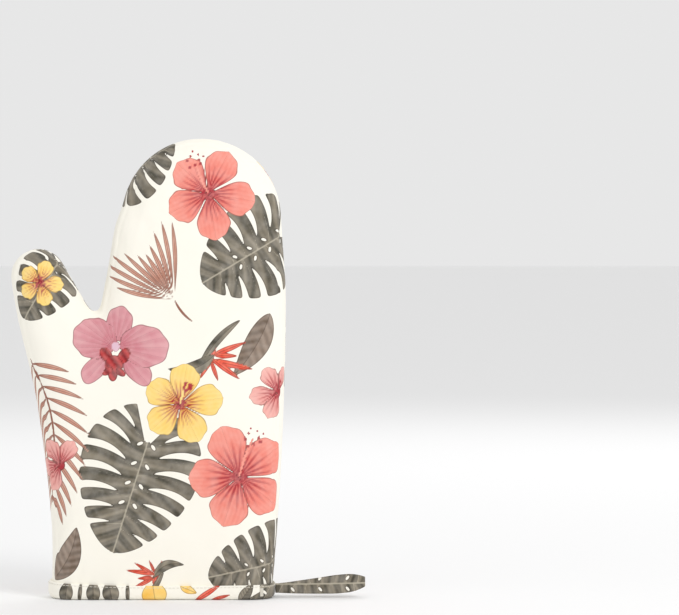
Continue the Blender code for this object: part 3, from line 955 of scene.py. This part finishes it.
# ------------------------------------------------------------------ cuff binding
def ring_outline(offset, count=220):
    """A level loop round the cuff, offset out from its layers' outer face."""
    half_width = 79.6 * MM + offset
    half_depth = 24.9 * MM + offset
    corner = 18 * MM + offset
    steps = count // 4
    points = []
    for quarter, (sx, sy) in enumerate(((1, 1), (-1, 1), (-1, -1), (1, -1))):
        angles = np.radians(np.linspace(0, 90, steps)) + quarter * math.pi / 2
        cx = sx * (half_width - corner)
        cy = sy * (half_depth - corner * 1.14)
        points.append(np.column_stack([cx + corner * np.cos(angles), cy + corner * 1.14 * np.sin(angles)]))
    loop = np.vstack(points)
    lengths = np.hypot(*(np.roll(loop, -1, axis=0) - loop).T)
    along = np.concatenate([[0], np.cumsum(lengths)])
    spots = np.linspace(0, along[-1], count, endpoint=False)
    closed = np.vstack([loop, loop[:1]])
    return np.column_stack([np.interp(spots, along, closed[:, k]) for k in (0, 1)])


def lift(x):
    """The binding sags a little in the middle and rises towards the thumb side."""
    share = (x - CENTRE_X) / (80 * MM)
    return 0.9 * MM * share**2 + np.where(share < 0, 1.6 * MM * share**2, 0)


def make_binding(finish):
    """A tape folded over the rim: rounded foot, a leg up each face and a soft edge."""
    profile = (
        (-7.4, 9.6), (-8.0, 9.2), (-8.1, 6.0), (-7.9, 2.6), (-7.0, 0.9), (-5.2, 0.1), (-3.2, 0.0),
        (-1.2, 0.1), (0.6, 0.9), (1.5, 2.6), (1.75, 4.4), (1.75, 6.4), (1.6, 8.2), (1.25, 9.6),
        (0.7, 10.15), (0.0, 9.9),
    )
    bm = bmesh.new()
    loops = []
    count = 420
    for offset, z in profile:
        outline = ring_outline(offset * MM, count)
        verts = []
        for x, y in outline:
            rise = float(lift(x + CENTRE_X)) * (z / 10) ** 0.5
            verts.append(bm.verts.new((x + CENTRE_X, y, z * MM + rise)))
        loops.append([bm.edges.new((a, b)) for a, b in zip(verts, verts[1:] + verts[:1])])
    for lower, upper in zip(loops, loops[1:] + loops[:1]):
        bmesh.ops.bridge_loops(bm, edges=lower + upper)
    bmesh.ops.recalc_face_normals(bm, faces=bm.faces)
    piece = finished("binding", bm, finish)
    modifier = piece.modifiers.new("finer", "SUBSURF")
    modifier.levels = modifier.render_levels = 1
    apply_all(piece)
    print_on(piece, tape_print)
    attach(piece, "hand")
    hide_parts("cuff_binding")
    return piece


def stitch_run(name, path, out, length, gap, thickness, finish, closed_loop=False):
    """A row of stitches: short rounded threads that follow a path, each dipping in at its ends."""
    path = np.array(path)
    if closed_loop:
        path = np.vstack([path, path[:1]])
        out = np.vstack([out, out[:1]])
    along = np.concatenate([[0], np.cumsum(np.linalg.norm(np.diff(path, axis=0), axis=1))])
    curve = bpy.data.curves.new(name, "CURVE")
    curve.dimensions = "3D"
    curve.bevel_depth = thickness / 2
    curve.bevel_resolution = 1
    curve.use_fill_caps = True
    total = int(along[-1] / (length + gap))
    for i in range(total):
        start = (i + 0.5) * along[-1] / total
        spline = curve.splines.new("POLY")
        spline.points.add(4)
        for k, point in enumerate(spline.points):
            share = k / 4
            s = start + length * share
            place = np.array([np.interp(s, along, path[:, a]) for a in range(3)])
            up = np.array([np.interp(s, along, out[:, a]) for a in range(3)])
            bow = thickness * (1.1 * math.sin(math.pi * share) - 0.45)
            point.co = (*(place + up * bow), 1)
            point.radius = 0.75 + 0.25 * math.sin(math.pi * share)
    return finished_curve(name, curve, finish)


def finished_curve(name, curve, finish):
    obj = add_object(name + "_path", curve)
    mesh = applied(obj)
    bpy.data.objects.remove(obj)
    mesh.materials.clear()
    mesh.materials.append(finish)
    return add_object(name, smooth(mesh))


def make_binding_stitches(finish):
    outline = ring_outline(1.45 * MM, 600)
    x = outline[:, 0] + CENTRE_X
    path = np.column_stack([x, outline[:, 1], 8.7 * MM + lift(x)])
    outer = ring_outline(3 * MM, 600) - outline
    out = np.column_stack([outer / np.linalg.norm(outer, axis=1)[:, None], np.zeros(len(outer))])
    piece = stitch_run("binding_stitches", path, out, 2.1 * MM, 0.7 * MM, 0.42 * MM, finish, True)
    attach(piece, "hand")
    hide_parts("binding_stitch")


# ------------------------------------------------------------------ hanging loop
def make_loop(finish):
    """A tape folded double, its plies apart, that widens to a round, upturned end."""
    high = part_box("hanging_loop")[1]
    joint = next(joint for joint in frame["joints"] if joint["name"] == "loop_swing")
    root = Vector(joint["pos_m"])
    reach = high[0] - root.x
    keys = [
        (-0.027, 0.85), (0.0, 0.9), (0.06, 1.1), (0.22, 2.6),
        (0.50, 3.5), (0.80, 3.4), (0.94, 2.5), (0.995, 1.0),
    ]
    near = smooth_line([(u * reach, v * MM) for u, v in keys], 6)
    far = near[::-1] * (1, -1)
    path = np.vstack([near, [(reach, 0)], far])
    bm = bmesh.new()
    rows = 9
    columns = []
    for x, y in path:
        share = max(0.0, x / reach)
        middle = root.z + (-0.2 + 4.6 * share**1.3) * MM
        half = (3.4 + 3.1 * min(1.0, share * 1.5)) * MM * (1 - 0.45 * max(0.0, (share - 0.78) / 0.22) ** 2)
        column = []
        for row in range(rows):
            v = row / (rows - 1) * 2 - 1
            lean = 0.25 * MM * math.cos(v * math.pi / 2)
            column.append(bm.verts.new((root.x + x, y + math.copysign(lean, y), middle + half * v)))
        columns.append(column)
    ring = columns + columns[:1]
    for a, b in zip(ring, ring[1:]):
        edges = []
        for column in (a, b):
            edges += [bm.edges.get(pair) or bm.edges.new(pair) for pair in zip(column, column[1:])]
        bmesh.ops.bridge_loops(bm, edges=edges)
    bmesh.ops.remove_doubles(bm, verts=bm.verts, dist=2e-5)
    bmesh.ops.recalc_face_normals(bm, faces=bm.faces)
    piece = finished("hanging_loop_tape", bm, finish)
    wall = piece.modifiers.new("tape", "SOLIDIFY")
    wall.thickness = 0.95 * MM
    wall.offset = 0
    rounder = piece.modifiers.new("finer", "SUBSURF")
    rounder.levels = rounder.render_levels = 2
    apply_all(piece)
    print_on(piece, tape_print)
    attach(piece, "loop")
    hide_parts("hanging_loop")
    return piece


def make_tack(finish):
    """Close bar stitches over the loop's ends."""
    low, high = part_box("loop_tack")
    heights = np.linspace(low[2], high[2], 14)
    curve = bpy.data.curves.new("tack", "CURVE")
    curve.dimensions = "3D"
    curve.bevel_depth = 0.24 * MM
    curve.bevel_resolution = 1
    curve.use_fill_caps = True
    face = ring_outline(1.85 * MM, 600)
    face = face[face[:, 1] < 0]
    face = face[np.argsort(face[:, 0])]
    for z in heights:
        spline = curve.splines.new("POLY")
        spline.points.add(4)
        for k, point in enumerate(spline.points):
            share = k / 4
            x = low[0] + (high[0] - low[0]) * share
            y = np.interp(x - CENTRE_X, face[:, 0], face[:, 1])
            point.co = (x, y - 0.2 * MM * math.sin(math.pi * share), z, 1)
    piece = finished_curve("loop_bar_tack", curve, finish)
    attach(piece, "hand")
    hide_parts("loop_tack")


# ------------------------------------------------------------------ grips
PALM_GRIP = (
    (22.6, 315), (44, 310), (59, 301), (71, 282), (75.3, 259), (73.2, 223), (70, 183), (64.5, 142),
    (57, 108), (38, 88), (16, 92), (-4, 120), (-19, 168), (-28, 228), (-27.5, 262), (-19, 296), (0, 311),
)
THUMB_GRIP = (
    (-90, 222), (-82, 219), (-74, 211), (-66, 197), (-62, 180), (-64, 158), (-71.5, 138), (-78.5, 130),
    (-83, 138), (-87.5, 160), (-92.5, 184), (-98, 204), (-97, 216),
)
CELL = 7.4


def honeycomb(points):
    """0 on the floor of a cell, 1 on the ridge between two."""
    rise = CELL * math.sqrt(3) / 2
    best = np.full(len(points), 1e9)
    second = np.full(len(points), 1e9)
    row = np.floor(points[:, 1] / rise)
    for dr in (-1, 0, 1, 2):
        r = row + dr
        shift = np.where(r % 2 == 0, 0, CELL / 2)
        column = np.floor((points[:, 0] - shift) / CELL)
        for dc in (-1, 0, 1, 2):
            centre = np.column_stack([(column + dc) * CELL + shift, r * rise])
            distance = np.hypot(*(points - centre).T)
            second = np.minimum(second, np.maximum(distance, best))
            best = np.minimum(best, distance)
    gap = second - best
    return 1 - np.clip((gap - 0.7) / 1.5, 0, 1)


def make_grip(name, keys, node, tree, part, finish, rim_finish):
    """A moulded pad with a honeycomb of ridges, laid on the palm."""
    outline = smooth_line(keys, 8, closed_loop=True)
    spacing = 0.72
    low, high = outline.min(0) - 2, outline.max(0) + 2
    size = high - low
    bm = bmesh.new()
    counts = [int(value / spacing) for value in size]
    bmesh.ops.create_grid(bm, x_segments=counts[0], y_segments=counts[1], size=0.5)
    places = np.array([vertex.co[:2] for vertex in bm.verts]) * size + (low + high) / 2
    inside = distance_inside(places, outline)
    ridge = honeycomb(places)
    dense = smooth_line(outline, 10, closed_loop=True)
    for i in np.nonzero((inside < 0) & (inside >= -spacing * 1.3))[0]:
        places[i] = dense[np.argmin(((dense - places[i]) ** 2).sum(1))]
    for vertex, (u, v), depth, height in zip(bm.verts, places, inside, ridge):
        if depth < -spacing * 1.3:
            vertex.tag = True
            continue
        x, z = u * MM + CENTRE_X, v * MM
        hit = tree.ray_cast(Vector((x, 0.08, z)), Vector((0, -1, 0)))
        lip = max(0.0, 1 - max(depth, 0) / 2.2)
        rise = (0.75 + 0.75 * max(height * (depth > 1.4), lip**2)) * MM
        rise = rise if depth >= 0 else 0.1 * MM
        point, out = (hit[0], hit[1]) if hit[0] else (Vector((x, 0.012, z)), Vector((0, 1, 0)))
        vertex.co = point + out * (rise + 0.15 * MM)
    bmesh.ops.delete(bm, geom=[vertex for vertex in bm.verts if vertex.tag], context="VERTS")
    bmesh.ops.recalc_face_normals(bm, faces=bm.faces)
    if sum(face.normal.y for face in bm.faces) < 0:
        bmesh.ops.reverse_faces(bm, faces=bm.faces)
    piece = finished(name, bm, finish)
    places = coordinates(piece.data)
    flat = np.column_stack([places[:, 0] - CENTRE_X, places[:, 2]]) / MM
    inside = distance_inside(flat, outline)
    store(piece.data, "ridge", np.where(inside > 1.4, honeycomb(flat), 0.3))
    bend(piece, part)
    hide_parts(node)
    make_grip_rim(name + "_rim", outline, tree, part, rim_finish)


def make_grip_rim(name, outline, tree, part, finish):
    """The rounded bead along a grip's edge."""
    curve = bpy.data.curves.new(name, "CURVE")
    curve.dimensions = "3D"
    curve.bevel_depth = 0.75 * MM
    curve.bevel_resolution = 2
    spline = curve.splines.new("POLY")
    spline.points.add(len(outline) - 1)
    for point, (u, v) in zip(spline.points, outline):
        hit = tree.ray_cast(Vector((u * MM + CENTRE_X, 0.08, v * MM)), Vector((0, -1, 0)))
        point.co = (*(hit[0] + hit[1] * 0.6 * MM), 1)
    spline.use_cyclic_u = True
    rim = finished_curve(name, curve, finish)
    bend(rim, part)


def rim_silicone():
    shade = Shade("rim_silicone", (0.055, 0.057, 0.062), 0.48, 0.4)
    dust = shade.noise(1500.0, 2.0)
    shade.colour_between(dust, (0.050, 0.052, 0.057), (0.075, 0.077, 0.082))
    shade.bump(dust, 0.15, 0.0002)
    return shade.material


# ------------------------------------------------------------------ the layers of the mitt
SIDES = {-1: "back", 1: "palm"}


def make_outer(body, canvas):
    """The printed outer cloth on each side, with its thumb as a piece of its own."""
    for side, side_name in SIDES.items():
        for part in ("main", "thumb"):
            piece = piece_of(body, f"outer_{side_name}_{part}", side, part, 0, canvas, 1.5 * MM)
            print_on(piece, back_print if side < 0 else palm_print, wrap=True)
            bend(piece, part)
            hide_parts(f"outer_{side_name}_panel")


def make_lining(coarse, lining):
    """The lining on each side, which shows inside the open cuff."""
    for side, side_name in SIDES.items():
        for part in ("main", "thumb"):
            piece = piece_of(coarse, f"lining_{side_name}_{part}", side, part, 6.4 * MM, lining, 2.5 * MM)
            face_inwards(piece)
            bend(piece, part)
            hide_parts(f"lining_{side_name}_panel")


def face_inwards(piece):
    """Turns a layer's faces to look into the mitt."""
    bm = bmesh.new()
    bm.from_mesh(piece.data)
    bmesh.ops.reverse_faces(bm, faces=bm.faces)
    bm.to_mesh(piece.data)
    bm.free()


def make_wadding(coarse, batting):
    """The wadding between cloth and lining, with real thickness."""
    for side, side_name in SIDES.items():
        for part in ("main", "thumb"):
            piece = piece_of(coarse, f"wadding_{side_name}_{part}", side, part, 1.0 * MM, batting, 2.0 * MM)
            wall = piece.modifiers.new("loft", "SOLIDIFY")
            wall.thickness = 4.6 * MM
            wall.offset = -1
            apply_all(piece)
            bend(piece, part)
            nodes = ["fingers", "hand"] if part == "main" else ["thumb"]
            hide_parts(*[f"batting_{side_name}_{node}" for node in nodes])


def seam_path(body):
    """The places along the body's side seam, in order, from the thumb side of the cuff round to the other."""
    bm = bmesh.new()
    bm.from_mesh(body.data)
    cut_plane(bm, (0, 0, 8 * MM), (0, 0, 1), clear_inner=True)
    cut = cut_plane(bm, (0, 0, 0), (0, 1, 0))
    edges = [item for item in cut["geom_cut"] if isinstance(item, bmesh.types.BMEdge)]
    neighbours = {}
    for edge in edges:
        a, b = edge.verts
        neighbours.setdefault(a, []).append(b)
        neighbours.setdefault(b, []).append(a)
    ends = [vertex for vertex, found in neighbours.items() if len(found) == 1]
    start = min(ends or list(neighbours), key=lambda vertex: vertex.co.x)
    path, previous, here = [start.co.copy()], None, start
    while True:
        following = [vertex for vertex in neighbours[here] if vertex is not previous]
        if not following or len(path) > len(neighbours):
            break
        previous, here = here, following[0]
        path.append(here.co.copy())
    bm.free()
    return path


def make_seam(body, thread):
    """The line of the side seam, drawn into its crease."""
    runs = {"main": [[]], "thumb": [[]]}
    last = None
    for place in seam_path(body):
        part = "thumb" if in_thumb(place) else "main"
        if part != last and last is not None:
            runs[last][-1].append(place)
            runs[part].append([])
        runs[part][-1].append(place)
        last = part
    for part, lines in runs.items():
        curve = bpy.data.curves.new(f"seam_{part}", "CURVE")
        curve.dimensions = "3D"
        curve.bevel_depth = 0.55 * MM
        curve.bevel_resolution = 2
        curve.use_fill_caps = True
        for line in lines:
            if len(line) < 2:
                continue
            spline = curve.splines.new("POLY")
            spline.points.add(len(line) - 1)
            for point, place in zip(spline.points, line):
                point.co = (*place, 1)
        piece = finished_curve(f"side_seam_{part}", curve, thread)
        bend(piece, part)
        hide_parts("side_seam")


# ------------------------------------------------------------------ all together
def main():
    set_camera()
    set_studio()
    canvas = printed_canvas()
    lining = lining_cloth()
    batting = wadding()
    thread = sewing_thread("cream_thread", (0.86, 0.82, 0.72))
    silicone = grip_silicone()
    rim = rim_silicone()
    coarse, body = make_body()
    graph = bpy.context.evaluated_depsgraph_get()
    tree = BVHTree.FromObject(body, graph)
    make_outer(body, canvas)
    make_lining(coarse, lining)
    make_wadding(coarse, batting)
    make_seam(body, thread)
    make_binding(canvas)
    make_binding_stitches(thread)
    make_loop(canvas)
    make_tack(thread)
    make_grip("palm_grip_pad", PALM_GRIP, "palm_grip", tree, "main", silicone, rim)
    make_grip("thumb_grip_pad", THUMB_GRIP, "thumb_grip", tree, "thumb", silicone, rim)
    bpy.data.objects.remove(body)
    bpy.data.objects.remove(coarse)


main()
